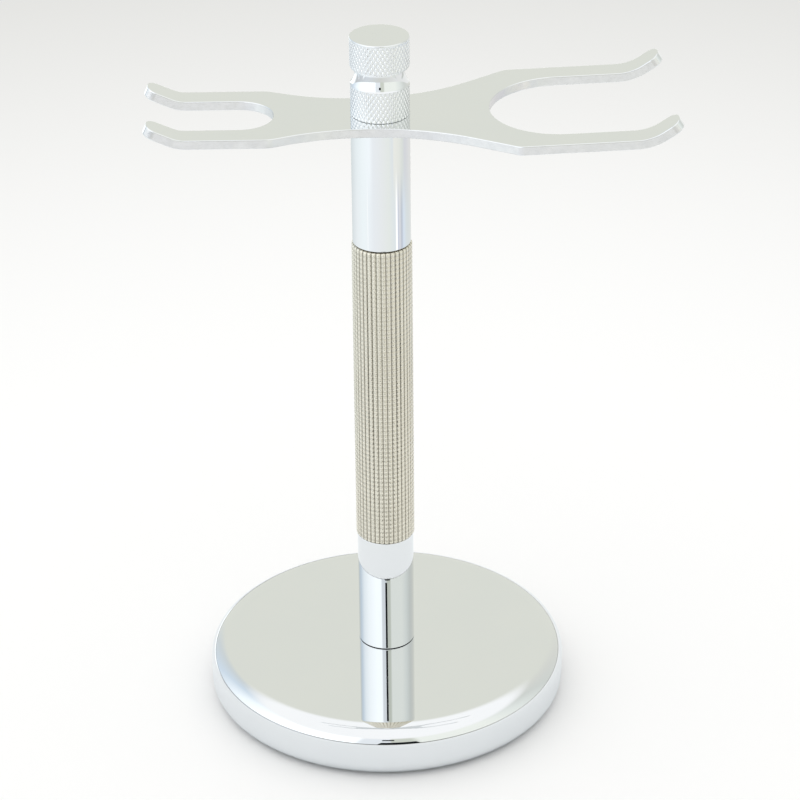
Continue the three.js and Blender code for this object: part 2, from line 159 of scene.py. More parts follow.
TABLE_NEAR = (
    (-170, (0.66, 0.70, 0.70, 1)), (-150, (0.72, 0.77, 0.79, 1)), (-112, (0.88, 0.92, 0.94, 1)),
    (-80, (0.92, 0.98, 1.0, 1)), (-60, (0.93, 0.98, 1.0, 1)), (-58, (1.1, 1.1, 1.1, 1)),
    (-56, (0.92, 0.97, 1.0, 1)), (-33, (0.87, 0.90, 0.93, 1)), (0, (0.86, 0.88, 0.885, 1)),
    (28, (0.84, 0.87, 0.84, 1)), (54, (0.79, 0.84, 0.86, 1)), (58, (1.2, 1.2, 1.2, 1)),
    (62, (1.2, 1.2, 1.2, 1)), (66, (0.60, 0.63, 0.74, 1)), (74, (0.78, 0.79, 0.82, 1)),
    (84, (0.54, 0.58, 0.66, 1)), (94, (0.74, 0.82, 0.92, 1)), (112, (0.74, 0.79, 0.80, 1)),
    (165, (0.74, 0.75, 0.73, 1)),
)
TABLE_END = (
    (-174, (0.66, 0.67, 0.65, 1)), (-167, (0.58, 0.60, 0.61, 1)), (-162, SOFTBOX), (-138, SOFTBOX),
    (-122, (0.56, 0.59, 0.61, 1)), (-60, (0.70, 0.74, 0.78, 1)), (0, (0.68, 0.69, 0.66, 1)),
    (70, (0.80, 0.81, 0.80, 1)), (130, (0.84, 0.85, 0.84, 1)), (168, (0.86, 0.87, 0.85, 1)),
)
TENT_STRENGTH = 1.144

# Where one part of that view fades into the next, by its height above the horizon in degrees
WALLS_TO_OVERHEAD = (41, 53)
NEAR_TO_FAR_TABLE = (-25.1, -24.1)
TABLE_TO_ITS_END = (-21, -15)

# The sheet under the stand, and the dark things that only the chrome sees
FLOOR_SIDES = 96
FLOOR_REACH = 4.0
FLOOR_COLOUR = (0.95, 0.95, 0.95, 1)
# Painted shade: the sheet turns grey far from the stand, a painted falloff of light.
FAR_FLOOR_PAINTED_SHADE = (0.66, 0.66, 0.645, 1)
FLOOR_PAINTED_FALLOFF = (0.12, 0.62)
MIRRORED_REACH = 0.13
MIRRORED_COLOUR = (0.93, 0.955, 0.975, 1)
MIRRORED_RISE = 0.05 * MM         # it lies just above the sheet that the camera sees
SHEET_DROP = 0.01 * MM            # below the stand's pad
CAMERA_CARD_HALF_WIDTH = 42 * MM
CAMERA_CARD_HEIGHTS = (364 * MM, 490 * MM)
CAMERA_CARD_SETBACK = 1.03        # times the camera's own distance
EDGE_DISTANCE = 125 * MM
EDGE_HEIGHT = 10.5 * MM           # of the rim's middle
EDGE_HALF_HEIGHT = 1.2 * MM
EDGE_FRONT_EXTRA = 2.2 * MM       # more half height in front
TALL_EDGE = (-6, 12)              # bearings where something taller stands
TALL_EDGE_TOP = 38 * MM


# ---------------------------------------------------------------- helpers

class Nodes:
    """Short names for building a node tree."""

    def __init__(self, tree):
        self.tree = tree
        tree.nodes.clear()

    def new(self, kind, inputs=None, **settings):
        node = self.tree.nodes.new(kind)
        for key, value in settings.items():
            setattr(node, key, value)
        for key, value in (inputs or {}).items():
            if isinstance(value, bpy.types.NodeSocket):
                self.tree.links.new(value, node.inputs[key])
            else:
                node.inputs[key].default_value = value
        return node

    def math(self, operation, *values):
        node = self.new("ShaderNodeMath", dict(enumerate(values)), operation=operation)
        return node.outputs[0]

    def ramp(self, value, low, high, low_out=0.0, high_out=1.0):
        """A smooth step from low to high."""
        numbers = {"Value": value, "From Min": low, "From Max": high, "To Min": low_out, "To Max": high_out}
        node = self.new("ShaderNodeMapRange", numbers, interpolation_type="SMOOTHSTEP")
        return node.outputs["Result"]

    def panels(self, bearing, stops):
        """Colours round the horizon, blended from each (degrees, colour) stop to the next."""
        turn = self.math("MULTIPLY_ADD", bearing, 0.5 / math.pi, 0.5)
        node = self.new("ShaderNodeValToRGB", {"Fac": turn})
        elements = node.color_ramp.elements
        elements.remove(elements[1])
        for i, (degrees, colour) in enumerate(stops):
            position = degrees / 360 + 0.5
            element = elements.new(position) if i else elements[0]
            element.position = position
            element.color = colour
        return node.outputs["Color"]

    def mix(self, factor, first, second):
        node = self.new("ShaderNodeMix", {0: factor, 6: first, 7: second}, data_type="RGBA")
        return node.outputs[2]


def new_material(name):
    """A material with an empty node tree to fill in."""
    material = bpy.data.materials.new(name)
    material.use_nodes = True
    return material, Nodes(material.node_tree)


def noise(n, place, scale, detail):
    """Cloudy noise from 0 to 1."""
    inputs = {"Vector": place, "Scale": scale, "Detail": detail}
    return n.new("ShaderNodeTexNoise", inputs).outputs["Fac"]


def stretched(n, place, x, y, z):
    """The same place, scaled along each axis."""
    return n.new("ShaderNodeMapping", {"Vector": place, "Scale": (x, y, z)}).outputs["Vector"]


def finish(n, colour, roughness, metallic=1.0, bump=None, bump_distance=0.0, bump_strength=1.0):
    """Ends a material's tree: metal unless told otherwise, and bumpy where a height is given."""
    inputs = {"Base Color": colour, "Metallic": metallic, "Roughness": roughness}
    if bump is not None:
        numbers = {"Height": bump, "Distance": bump_distance, "Strength": bump_strength}
        inputs["Normal"] = n.new("ShaderNodeBump", numbers).outputs["Normal"]
    shader = n.new("ShaderNodeBsdfPrincipled", inputs)
    n.new("ShaderNodeOutputMaterial", {0: shader.outputs[0]})


def finish_stage(n, colour):
    """Ends the tree of a matt sheet or card that isn't part of the stand."""
    shader = n.new("ShaderNodeBsdfDiffuse", {"Color": colour})
    n.new("ShaderNodeOutputMaterial", {0: shader.outputs[0]})


def add_object(name, mesh, material):
    """Puts a mesh in the scene, all in one material."""
    obj = bpy.data.objects.new(name, mesh)
    bpy.context.scene.collection.objects.link(obj)
    mesh.materials.append(material)
    return obj


# ---------------------------------------------------------------- camera, floor and light

def make_camera():
    """Stands to the left of -Y and looks down at the stand."""
    heading = CAMERA_SIDE + CAMERA_YAW
    spot = Vector((-math.sin(CAMERA_SIDE), -math.cos(CAMERA_SIDE), 0)) * CAMERA_DISTANCE
    spot.z = CAMERA_HEIGHT
    level = math.cos(CAMERA_PITCH)
    forward = Vector((math.sin(heading) * level, math.cos(heading) * level, -math.sin(CAMERA_PITCH)))
    right = Vector((math.cos(heading), -math.sin(heading), 0))
    up = right.cross(forward)
    tilted_right = math.cos(CAMERA_ROLL) * right + math.sin(CAMERA_ROLL) * up
    tilted_up = math.cos(CAMERA_ROLL) * up - math.sin(CAMERA_ROLL) * right
    data = bpy.data.cameras.new("view")
    data.lens = CAMERA_LENS
    data.sensor_width = SENSOR
    data.clip_start = 0.01
    data.clip_end = 20
    camera = bpy.data.objects.new("view", data)
    turn = Matrix((tilted_right, tilted_up, -forward)).transposed()
    camera.matrix_world = Matrix.Translation(spot) @ turn.to_4x4()
    bpy.context.scene.collection.objects.link(camera)
    bpy.context.scene.camera = camera
    return spot


def height_step(n, z, low, high):
    """A smooth step between two heights above the horizon, in degrees."""
    return n.ramp(z, math.sin(math.radians(low)), math.sin(math.radians(high)))


def make_world():
    """A white tent with softboxes, given by bearing: 0 in front, + to the right, 180 behind."""
    world = bpy.data.worlds.new("tent")
    bpy.context.scene.world = world
    world.use_nodes = True
    n = Nodes(world.node_tree)
    split = n.new("ShaderNodeSeparateXYZ", {0: n.new("ShaderNodeTexCoord").outputs["Generated"]})
    x, y, z = split.outputs
    bearing = n.math("ARCTAN2", x, n.math("MULTIPLY", y, -1.0))
    walls = n.panels(bearing, WALLS)
    walls = n.mix(height_step(n, z, *WALLS_TO_OVERHEAD), walls, OVERHEAD)
    table = n.panels(bearing, TABLE_NEAR)
    table = n.mix(height_step(n, z, *NEAR_TO_FAR_TABLE), table, n.panels(bearing, TABLE_FAR))
    table = n.mix(height_step(n, z, *TABLE_TO_ITS_END), table, n.panels(bearing, TABLE_END))
    colour = n.mix(n.ramp(z, 0.0, 0.01), table, walls)
    rays = n.new("ShaderNodeLightPath").outputs
    # What lights the floor is brightest overhead, and a little brighter from behind and from the left.
    strength = 0.40
    for axis, gain in ((x, -0.14), (y, 0.14), (z, 1.0)):
        strength = n.math("MULTIPLY_ADD", axis, gain, strength)
    fill = n.new("ShaderNodeBackground", {"Color": (1.0, 1.0, 0.99, 1), "Strength": strength})
    seen = n.new("ShaderNodeBackground", {"Color": (0.84, 0.84, 0.82, 1), "Strength": 1.0})
    mirrored = n.new("ShaderNodeBackground", {"Color": colour, "Strength": TENT_STRENGTH})
    shown = fill
    for ray, shader in (("Is Glossy Ray", mirrored), ("Is Camera Ray", seen)):
        shown = n.new("ShaderNodeMixShader", {0: rays[ray], 1: shown.outputs[0], 2: shader.outputs[0]})
    n.new("ShaderNodeOutputWorld", {0: shown.outputs[0]})


def make_floor():
    """A plain white sheet, with painted shade that turns it grey far away as if the light fell off. The
    chrome mirrors a bluer copy of its middle, and further out the tent's own colours."""
    for name, reach, height, near_colour in (
        ("floor_seen", FLOOR_REACH, -SHEET_DROP, FLOOR_COLOUR),
        ("floor_mirrored", MIRRORED_REACH, MIRRORED_RISE, MIRRORED_COLOUR),
    ):
        material, n = new_material(name)
        place = n.new("ShaderNodeTexCoord").outputs["Object"]
        distance = n.new("ShaderNodeVectorMath", {0: place}, operation="LENGTH").outputs["Value"]
        # painted shade: the sheet greys from its near colour towards far away
        colour = n.mix(n.ramp(distance, *FLOOR_PAINTED_FALLOFF), near_colour, FAR_FLOOR_PAINTED_SHADE)
        finish_stage(n, colour)
        angles = np.arange(FLOOR_SIDES) * (2 * math.pi / FLOOR_SIDES)
        mesh = bpy.data.meshes.new(name)
        rim = [(reach * math.cos(a), reach * math.sin(a), height) for a in angles]
        mesh.from_pydata(rim, [], [tuple(range(FLOOR_SIDES))])
        floor = add_object(name, mesh, material)
        mirrored = name == "floor_mirrored"
        floor.visible_glossy = mirrored
        floor.visible_camera = not mirrored
        floor.visible_diffuse = not mirrored
        floor.visible_shadow = not mirrored


def make_black_card(name, low_edge, high_edge):
    """A dark strip between two rows of points, which only reflections show."""
    count = len(low_edge)
    faces = [(i, i + 1, count + i + 1, count + i) for i in range(count - 1)]
    mesh = bpy.data.meshes.new(name)
    mesh.from_pydata(low_edge + high_edge, [], faces)
    material, n = new_material(name + "_black")
    finish_stage(n, (0.012, 0.014, 0.016, 1))
    card = add_object(name, mesh, material)
    card.visible_camera = False
    card.visible_shadow = False
    card.visible_diffuse = False


def make_camera_card(spot):
    """The dark camera, which the chrome mirrors as a thin upright line."""
    across = Vector((math.cos(CAMERA_SIDE), -math.sin(CAMERA_SIDE), 0)) * CAMERA_CARD_HALF_WIDTH
    stand_at = Vector((spot.x, spot.y, 0)) * CAMERA_CARD_SETBACK
    heights = [Vector((0, 0, z)) for z in CAMERA_CARD_HEIGHTS]
    low_edge, high_edge = [[stand_at - across + height, stand_at + across + height] for height in heights]
    make_black_card("camera_card", low_edge, high_edge)


def make_table_edge():
    """A low dark rim round the sheet, taller in front, which the base mirrors as a thin line."""
    low_edge, high_edge = [], []
    for degrees in range(-180, 181, 2):
        a = math.radians(degrees)
        spot = (EDGE_DISTANCE * math.sin(a), -EDGE_DISTANCE * math.cos(a))
        half = EDGE_HALF_HEIGHT + EDGE_FRONT_EXTRA * max(0, math.cos(a)) ** 2
        tall = TALL_EDGE[0] <= degrees <= TALL_EDGE[1]
        low_edge.append((*spot, EDGE_HEIGHT - half))
        high_edge.append((*spot, TALL_EDGE_TOP if tall else EDGE_HEIGHT + half))
    make_black_card("table_edge", low_edge, high_edge)


# ---------------------------------------------------------------- materials

def chrome_material():
    """Mirror plate with faint polishing haze: its tint and gloss drift a little over the surface."""
    material, n = new_material("bright_chrome")
    place = n.new("ShaderNodeTexCoord").outputs["Object"]
    haze = noise(n, place, 60.0, 4.0)
    colour = n.mix(haze, (0.785, 0.80, 0.81, 1), (0.815, 0.822, 0.825, 1))
    smear = noise(n, stretched(n, place, 1.0, 1.0, 0.25), 180.0, 5.0)
    roughness = n.ramp(smear, 0.35, 0.75, 0.012, 0.05)
    finish(n, colour, roughness)
    return material


def edge_material():
    """The fork plate's cut edges: the same plate over a slightly grained surface."""
    material, n = new_material("grained_chrome_edge")
    place = n.new("ShaderNodeTexCoord").outputs["Object"]
    colour = n.mix(noise(n, place, 500.0, 4.0), (0.69, 0.69, 0.695, 1), (0.81, 0.80, 0.79, 1))
    roughness = n.ramp(noise(n, place, 800.0, 3.0), 0.3, 0.7, 0.1, 0.24)
    finish(n, colour, roughness, bump=noise(n, place, 1500.0, 3.0), bump_distance=2.5e-5)
    return material


def nickel_material():
    """Satin champagne nickel, with painted shade that makes it darker and browner down in the cuts of the
    knurling.
    """
    material, n = new_material("champagne_nickel")
    place = n.new("ShaderNodeTexCoord").outputs["Object"]
    drift = noise(n, place, 90.0, 4.0)
    colour = n.mix(drift, (0.74, 0.695, 0.585, 1), (0.86, 0.82, 0.71, 1))
    cut = n.new("ShaderNodeAttribute", attribute_name="cut").outputs["Fac"]
    # painted shade: the deeper the cut, the darker and browner the colour
    colour = n.mix(n.ramp(cut, 0.4, 1.0), colour, (0.30, 0.275, 0.22, 1))
    roughness = n.ramp(noise(n, place, 900.0, 3.0), 0.3, 0.7, 0.16, 0.30)
    finish(n, colour, roughness)
    return material


def knurled_chrome_material():
    """The same chrome on the knurling, with a little painted shade darkening the cuts."""
    material, n = new_material("knurled_chrome")
    place = n.new("ShaderNodeTexCoord").outputs["Object"]
    colour = n.mix(noise(n, place, 60.0, 4.0), (0.86, 0.87, 0.875, 1), (0.89, 0.895, 0.895, 1))
    cut = n.new("ShaderNodeAttribute", attribute_name="cut").outputs["Fac"]
    # painted shade: the colour darkens towards the bottom of each cut
    colour = n.mix(n.ramp(cut, 0.5, 1.0), colour, (0.76, 0.77, 0.765, 1))
    roughness = n.ramp(noise(n, place, 700.0, 3.0), 0.3, 0.7, 0.05, 0.14)
    finish(n, colour, roughness)
    return material


def turned_metal_material(name, dark, light, low, high):
    """Plain machined metal: fine rings round Z, and patchy gloss."""
    material, n = new_material(name)
    place = n.new("ShaderNodeTexCoord").outputs["Object"]
    colour = n.mix(noise(n, place, 250.0, 4.0), dark, light)
    roughness = n.ramp(noise(n, place, 600.0, 3.0), 0.3, 0.7, low, high)
    rings = noise(n, stretched(n, place, 0.02, 0.02, 1.0), 9000.0, 1.0)
    finish(n, colour, roughness, bump=rings, bump_distance=4e-6)
    return material


def cast_iron_material():
    """Rough casting under black paint."""
    material, n = new_material("black_cast_iron")
    place = n.new("ShaderNodeTexCoord").outputs["Object"]
    grain = noise(n, place, 900.0, 6.0)
    colour = n.mix(grain, (0.035, 0.035, 0.037, 1), (0.10, 0.10, 0.10, 1))
    finish(n, colour, 0.75, metallic=0.0, bump=grain, bump_distance=6e-5)
    return material


def soft_material(name, dark, light, grain_scale, roughness):
    """Rubber, foam or nylon: an even colour with a fine pebbled skin."""
    material, n = new_material(name)
    place = n.new("ShaderNodeTexCoord").outputs["Object"]
    cells = n.new("ShaderNodeTexVoronoi", {"Vector": place, "Scale": grain_scale}).outputs["Distance"]
    colour = n.mix(n.math("MULTIPLY", cells, noise(n, place, 120.0, 3.0)), dark, light)
    finish(n, colour, roughness, metallic=0.0, bump=cells, bump_distance=4e-5, bump_strength=0.7)
    return material


# ---------------------------------------------------------------- turned pieces

def arc(centre_r, centre_z, radius_r, radius_z, start, end, steps):
    """Points (radius, height) on an ellipse's arc, with angles in degrees."""
    angles = np.radians(np.linspace(start, end, steps + 1))
    return [(centre_r + radius_r * math.cos(a), centre_z + radius_z * math.sin(a)) for a in angles]


def climb(radius, bottom, top, step):
    """A straight stretch of profile at one radius, in even steps."""
    count = max(1, round((top - bottom) / step))
    return [(radius, bottom + (top - bottom) * i / count) for i in range(count + 1)]


def turned_piece(name, profile, sides, material, relief=None, sharp=35, depth=1.0):
    """A closed body of revolution about Z. The profile runs anticlockwise in (radius, height).
    relief(angle, height, radius) gives how deep the surface is cut, and depth is its deepest cut."""
    profile = np.array(profile)
    hollow = profile[0, 0] > 0
    angle = np.arange(sides) * (2 * math.pi / sides)
    radius = np.repeat(profile[:, :1], sides, axis=1)
    height = np.repeat(profile[:, 1:], sides, axis=1)
    cut = np.zeros_like(radius)
    if relief is not None:
        cut = relief(angle[None, :], height, radius)
        radius = radius - cut
    points = np.stack([radius * np.cos(angle), radius * np.sin(angle), height], axis=-1).reshape(-1, 3)
    rows = len(profile)
    ring = np.arange(rows if hollow else rows - 1)[:, None]
    next_ring = (ring + 1) % rows
    side = np.arange(sides)[None, :]
    next_side = (side + 1) % sides
    corners = ((ring, side), (ring, next_side), (next_ring, next_side), (next_ring, side))
    faces = np.stack([(r * sides + c).ravel() for r, c in corners], axis=-1)
    mesh = bpy.data.meshes.new(name)
    mesh.from_pydata(points.tolist(), [], faces.tolist())
    if relief is not None:
        layer = mesh.attributes.new("cut", "FLOAT", "POINT")
        layer.data.foreach_set("value", (cut / depth).ravel().astype(np.float32))
    if not hollow:
        body = bmesh.new()
        body.from_mesh(mesh)
        bmesh.ops.remove_doubles(body, verts=body.verts, dist=1e-7)
        body.to_mesh(mesh)
        body.free()
    mesh.polygons.foreach_set("use_smooth", [True] * len(mesh.polygons))
    mesh.set_sharp_from_angle(angle=math.radians(sharp))
    return add_object(name, mesh, material)


def size_of(node):
    """A round node's outer radius, lowest and highest height."""
    low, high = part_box(node)
    return (high[0] - low[0]) / 2, low[2], high[2]


def base_cover(material):
    """The chromed cover: a rounded lip, an upright side and an elliptical shoulder."""
    radius, bottom, top = size_of("base_shell")
    lip = radius - LOWER_ROUND
    level = radius - SHOULDER_WIDTH
    shoulder_bottom = top - SHOULDER_HEIGHT
    profile = arc(lip, bottom + LOWER_ROUND, LOWER_ROUND, LOWER_ROUND, -90, 0, 24)
    profile += [(radius, bottom + LOWER_ROUND + SUPPORT), (radius, shoulder_bottom - SUPPORT)]
    profile += arc(level, shoulder_bottom, SHOULDER_WIDTH, SHOULDER_HEIGHT, 0, 90, 60)
    ceiling = top - SHELL_THICKNESS
    profile += [
        (level - SUPPORT, top),
        (level - 3 * SUPPORT, top),
        (SCREW_HOLE, top),
        (SCREW_HOLE, ceiling),
        (level, ceiling),
        (radius - 2 * SHELL_THICKNESS, shoulder_bottom + SHELL_THICKNESS / 2),
        (radius - SHELL_THICKNESS, shoulder_bottom - SHELL_THICKNESS),
        (lip - LIP_WIDTH, bottom),
    ]
    return turned_piece("chrome_base", profile, BASE_SIDES, material, sharp=50)


def foot_pad(material):
    """The soft pad under the base, rounded below."""
    radius, bottom, top = size_of("base_pad")
    edge = PAD_EDGE
    profile = [(0, bottom), (radius - 3 * edge, bottom)]
    profile += arc(radius - edge, bottom + edge, edge, edge, -90, 0, 6)
    profile += [(radius, top), (0, top)]
    return turned_piece("soft_foot", profile, POLE_SIDES, material)


def tube_piece(name, node, material):
    """A plated tube with its rims just broken."""
    radius, bottom, top = size_of(node)
    straight = 2 * TUBE_EDGE
    profile = [(TUBE_BORE, bottom)]
    profile += arc(radius - TUBE_EDGE, bottom + TUBE_EDGE, TUBE_EDGE, TUBE_EDGE, -90, 0, 4)
    profile += [(radius, bottom + straight), (radius, top - straight)]
    profile += arc(radius - TUBE_EDGE, top - TUBE_EDGE, TUBE_EDGE, TUBE_EDGE, 0, 90, 4)
    profile += [(TUBE_BORE, top)]
    return turned_piece(name, profile, POLE_SIDES, material, sharp=50)


def to_nearest_cut(turns):
    """0 midway between two cuts and 1 on a cut, for a cut at every whole number."""
    return 1 - 2 * np.abs(turns - np.round(turns))


def knurled_grip(material):
    """Squares left standing between upright flutes and level grooves."""
    radius, bottom, top = size_of("grip_sleeve")
    rows = round((top - bottom) / GRIP_ROW)
    row = (top - bottom) / rows
    chamfer = GRIP_CHAMFER            # of the grip's two ends

    def relief(angle, height, at_radius):
        flute = to_nearest_cut(angle * GRIP_FLUTES / (2 * math.pi))
        groove = to_nearest_cut((height - bottom) / row)
        flute_cut = FLUTE_DEPTH * np.clip((flute - SQUARE_FLAT) / (1 - SQUARE_FLAT), 0, 1)
        row_cut = ROW_DEPTH * np.clip((groove - SQUARE_FLAT) / (1 - SQUARE_FLAT), 0, 1)
        crown = SQUARE_CROWN * (flute ** 2 + groove ** 2)
        outside = at_radius > radius - chamfer * 1.5
        return np.where(outside, np.maximum(flute_cut, row_cut) + crown, 0)

    profile = [(TUBE_BORE, bottom), (radius - chamfer, bottom)]
    profile += climb(radius, bottom + chamfer, top - chamfer, row / SAMPLES_PER_CUT)
    profile += [(radius - chamfer, top), (TUBE_BORE, top)]
    sides = GRIP_FLUTES * SAMPLES_PER_CUT
    return turned_piece("knurled_grip", profile, sides, material, relief, sharp=60, depth=FLUTE_DEPTH)


def turned_knob(material, plain):
    """Knurled collar with a polished hollow flare, a neck, and a knurled cap with a plain top."""
    cap_radius, bottom, top = size_of("knob")
    edge = CAP_CHAMFER
    step = DIAMOND_LENGTH / SAMPLES_ALONG
    collar_top = bottom + COLLAR_HEIGHT
    cap_bottom = bottom + NECK_TOP
    cap_knurl_top = top - CAP_BAND
    recess_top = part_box("clamp_washer")[1][2] + SURFACE_GAP
    stud_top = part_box("knob_stud")[1][2] + SURFACE_GAP

    def relief(angle, height, at_radius):
        around = angle * DIAMONDS_ROUND / (2 * math.pi)
        along = height / DIAMOND_LENGTH
        slope = np.maximum(to_nearest_cut(around + along + 0.5), to_nearest_cut(around - along + 0.5))
        cut = DIAMOND_DEPTH * np.clip((slope - DIAMOND_FLAT) / (1 - DIAMOND_FLAT), 0, 1)
        collar = (height < collar_top - HAIR) & (at_radius > COLLAR_RADIUS - 2 * edge)
        cap = (height > cap_bottom + HAIR) & (height < cap_knurl_top - HAIR)
        cap &= at_radius > cap_radius - 0.5 * edge
        return np.where(collar | cap, cut, 0)

    profile = [(0, stud_top), (STUD_BORE, stud_top), (STUD_BORE, recess_top), (RECESS_RADIUS, recess_top)]
    profile += [(RECESS_RADIUS, bottom), (COLLAR_RADIUS - UNDERSIDE_EDGE, bottom)]
    profile += climb(COLLAR_RADIUS, bottom + UNDERSIDE_EDGE, collar_top, step)
    profile += arc(NECK_RADIUS + FLARE_HOLLOW, bottom + NECK_BOTTOM, FLARE_HOLLOW, FLARE_HOLLOW, 210, 180, 24)
    profile += [(NECK_RADIUS, cap_bottom), (cap_radius - edge, cap_bottom)]
    profile += climb(cap_radius, cap_bottom + edge, cap_knurl_top, step)
    profile += arc(cap_radius - edge, top - edge, edge, edge, 0, 90, 6)
    profile += [(cap_radius - 2 * edge, top), (0, top)]
    sides = DIAMONDS_ROUND * SAMPLES_AROUND
    knob = turned_piece("turned_knob", profile, sides, material, relief, sharp=60, depth=DIAMOND_DEPTH)
    knob.data.materials.append(plain)
    cuts = np.zeros(len(knob.data.vertices), np.float32)
    knob.data.attributes["cut"].data.foreach_get("value", cuts)
    for face in knob.data.polygons:
        uncut = max(cuts[v] for v in face.vertices) < 1e-4
        if uncut:
            face.material_index = 1
    return knob


def threaded_stud(material):
    """A rod with a right-hand thread."""
    radius, bottom, top = size_of("knob_stud")
    end = STUD_POINT

    def relief(angle, height, at_radius):
        thread = to_nearest_cut(height / THREAD_PITCH - angle / (2 * math.pi))
        return np.where(at_radius > radius - end / 2, THREAD_DEPTH * thread, 0)

    profile = [(0, bottom), (radius - end, bottom)]
    profile += climb(radius, bottom + end, top - end, THREAD_PITCH / 8)
    profile += [(radius - end, top), (0, top)]
    depth = THREAD_DEPTH
    return turned_piece("threaded_stud", profile, THREAD_SIDES, material, relief, sharp=60, depth=depth)


# ---------------------------------------------------------------- fork plate

def rounded_outline(corners):
    """A closed outline from corners (x, y, radius): each is rounded by its radius, and 0 keeps it sharp."""
    points = []
    count = len(corners)
    for i, (x, y, radius) in enumerate(corners):
        here = Vector((x, y))
        back = (Vector(corners[i - 1][:2]) - here).normalized()
        ahead = (Vector(corners[(i + 1) % count][:2]) - here).normalized()
        turn = math.pi - back.angle(ahead)
        start = here + back * (radius * math.tan(turn / 2))
        side = math.copysign(1, back.x * ahead.y - back.y * ahead.x)
        centre = start + Vector((back.y, -back.x)) * (-side * radius)
        first = math.atan2(start.y - centre.y, start.x - centre.x)
        steps = max(2, math.ceil(turn / ARC_STEP))
        for k in range(steps + 1):
            a = first - side * turn * k / steps
            points.append(centre + Vector((math.cos(a), math.sin(a))) * radius)
    return [p for i, p in enumerate(points) if (p - points[i - 1]).length > CLOSEST_POINTS]


def fork_corners():
    """The flat outline, anticlockwise: brush prongs on +X and razor prongs on -X."""
    razor_half = RAZOR_SLOT_WIDTH / 2
    brush_half = BRUSH_SLOT_WIDTH / 2
    razor_outer = razor_half + PRONG_WIDTH
    brush_outer = brush_half + PRONG_WIDTH
    waist = WAIST_WIDTH / 2
    razor_waist = RAZOR_SHOULDER + (razor_outer - waist) / math.tan(RAZOR_FLANK)
    brush_waist = BRUSH_SHOULDER - (brush_outer - waist) / math.tan(BRUSH_FLANK)
    razor_end = -(RAZOR_ARM.tip_start + RAZOR_ARM.tip_length)
    brush_end = BRUSH_ARM.tip_start + BRUSH_ARM.tip_length
    lower = [
        (RAZOR_SLOT_END, -razor_half, razor_half),
        (razor_end, -razor_half, TIP_CORNER),
        (razor_end, -razor_outer, TIP_CORNER),
        (RAZOR_SHOULDER, -razor_outer, RAZOR_SHOULDER_ROUND),
        (razor_waist, -waist, RAZOR_WAIST_ROUND),
        (brush_waist, -waist, BRUSH_WAIST_ROUND),
        (BRUSH_SHOULDER, -brush_outer, BRUSH_SHOULDER_ROUND),
        (brush_end, -brush_outer, TIP_CORNER),
        (brush_end, -brush_half, TIP_CORNER),
        (BRUSH_SLOT_END, -brush_half, brush_half),
    ]
    upper = [(x, -y, radius) for x, y, radius in reversed(lower)]
    return lower + upper


def bend_lengths(arm):
    """How much of an arm's length its gentle sweep takes up, and how much the bend at its tip does."""
    return ARM_SWEEP_RADIUS * arm.rise, arm.bend_radius * (arm.tip_rise - arm.rise)


def arm_place(distance, arm):
    """Where the plate's middle surface is at a distance along an arm: x, z and its heading."""
    sweep, bend = bend_lengths(arm)
    stretches = [
        (CLAMPED_HALF_LENGTH, None),
        (sweep, ARM_SWEEP_RADIUS),
        (arm.tip_start - CLAMPED_HALF_LENGTH - sweep, None),
        (bend, arm.bend_radius),
        (1.0, None),
    ]
    x = z = heading = 0.0
    for length, radius in stretches:
        part = min(distance, length)
        if radius is None:
            x += part * math.cos(heading)
            z += part * math.sin(heading)
        else:
            turn = part / radius
            x += radius * (math.sin(heading + turn) - math.sin(heading))
            z += radius * (math.cos(heading) - math.cos(heading + turn))
            heading += turn
        distance -= part
        if distance <= 0:
            break
    return x, z, heading


def edge_rings(outline, edge, half):
    """The outline's rings from the lower face, round the broken edges, to the upper face, with normals."""
    points = np.array([(p.x, p.y) for p in outline])
    before = points - np.roll(points, 1, axis=0)
    after = np.roll(points, -1, axis=0) - points
    before /= np.linalg.norm(before, axis=1)[:, None]
    after /= np.linalg.norm(after, axis=1)[:, None]
    along = before + after
    along /= np.linalg.norm(along, axis=1)[:, None]
    outward = np.stack([along[:, 1], -along[:, 0]], axis=-1)
    rings = []
    for centre, angles in ((-(half - edge), (-90, -60, -30, 0)), (half - edge, (0, 30, 60, 90))):
        for a in np.radians(angles):
            flat = points + outward * (edge * (math.cos(a) - 1))
            z = centre + edge * math.sin(a)
            normals = np.column_stack([outward * math.cos(a), np.full(len(points), math.sin(a))])
            rings.append((np.column_stack([flat, np.full(len(points), z)]), normals))
    return rings


def broken_edge_wall(plate, layer, path):
    """Adds the upright wall round a path, and gives back its lowest and highest rings of points."""
    rings = []
    for points, normals in edge_rings(path, PLATE_EDGE, PLATE_THICKNESS / 2):
        ring = []
        for point, normal in zip(points, normals):
            vert = plate.verts.new(point)
            vert[layer] = normal
            ring.append(vert)
        rings.append(ring)
    for low, high in zip(rings, rings[1:]):
        for here in range(len(low)):
            there = (here + 1) % len(low)
            plate.faces.new((low[here], low[there], high[there], high[here]))
    return rings[0], rings[-1]


def flat_face(plate, outer, inner, faces_up):
    """Fills the plate's upper or lower face between its outline and its hole."""
    verts = outer + inner
    for triangle in tessellate_polygon([[v.co for v in outer], [v.co for v in inner]]):
        face = plate.faces.new([verts[i] for i in triangle])
        face.normal_update()
        if (face.normal.z > 0) != faces_up:
            face.normal_flip()


def slice_across(plate, sign, arm):
    """Cuts the flat plate across wherever this arm is going to bend."""
    sweep, bend = bend_lengths(arm)
    cuts = list(np.linspace(CLAMPED_HALF_LENGTH, CLAMPED_HALF_LENGTH + sweep, 7))
    cuts += list(np.linspace(arm.tip_start, arm.tip_start + bend, 19))
    for cut in cuts:
        geometry = plate.verts[:] + plate.edges[:] + plate.faces[:]
        across = {"plane_co": (sign * cut, 0, 0), "plane_no": (1, 0, 0)}
        bmesh.ops.bisect_plane(plate, geom=geometry, dist=1e-8, **across)


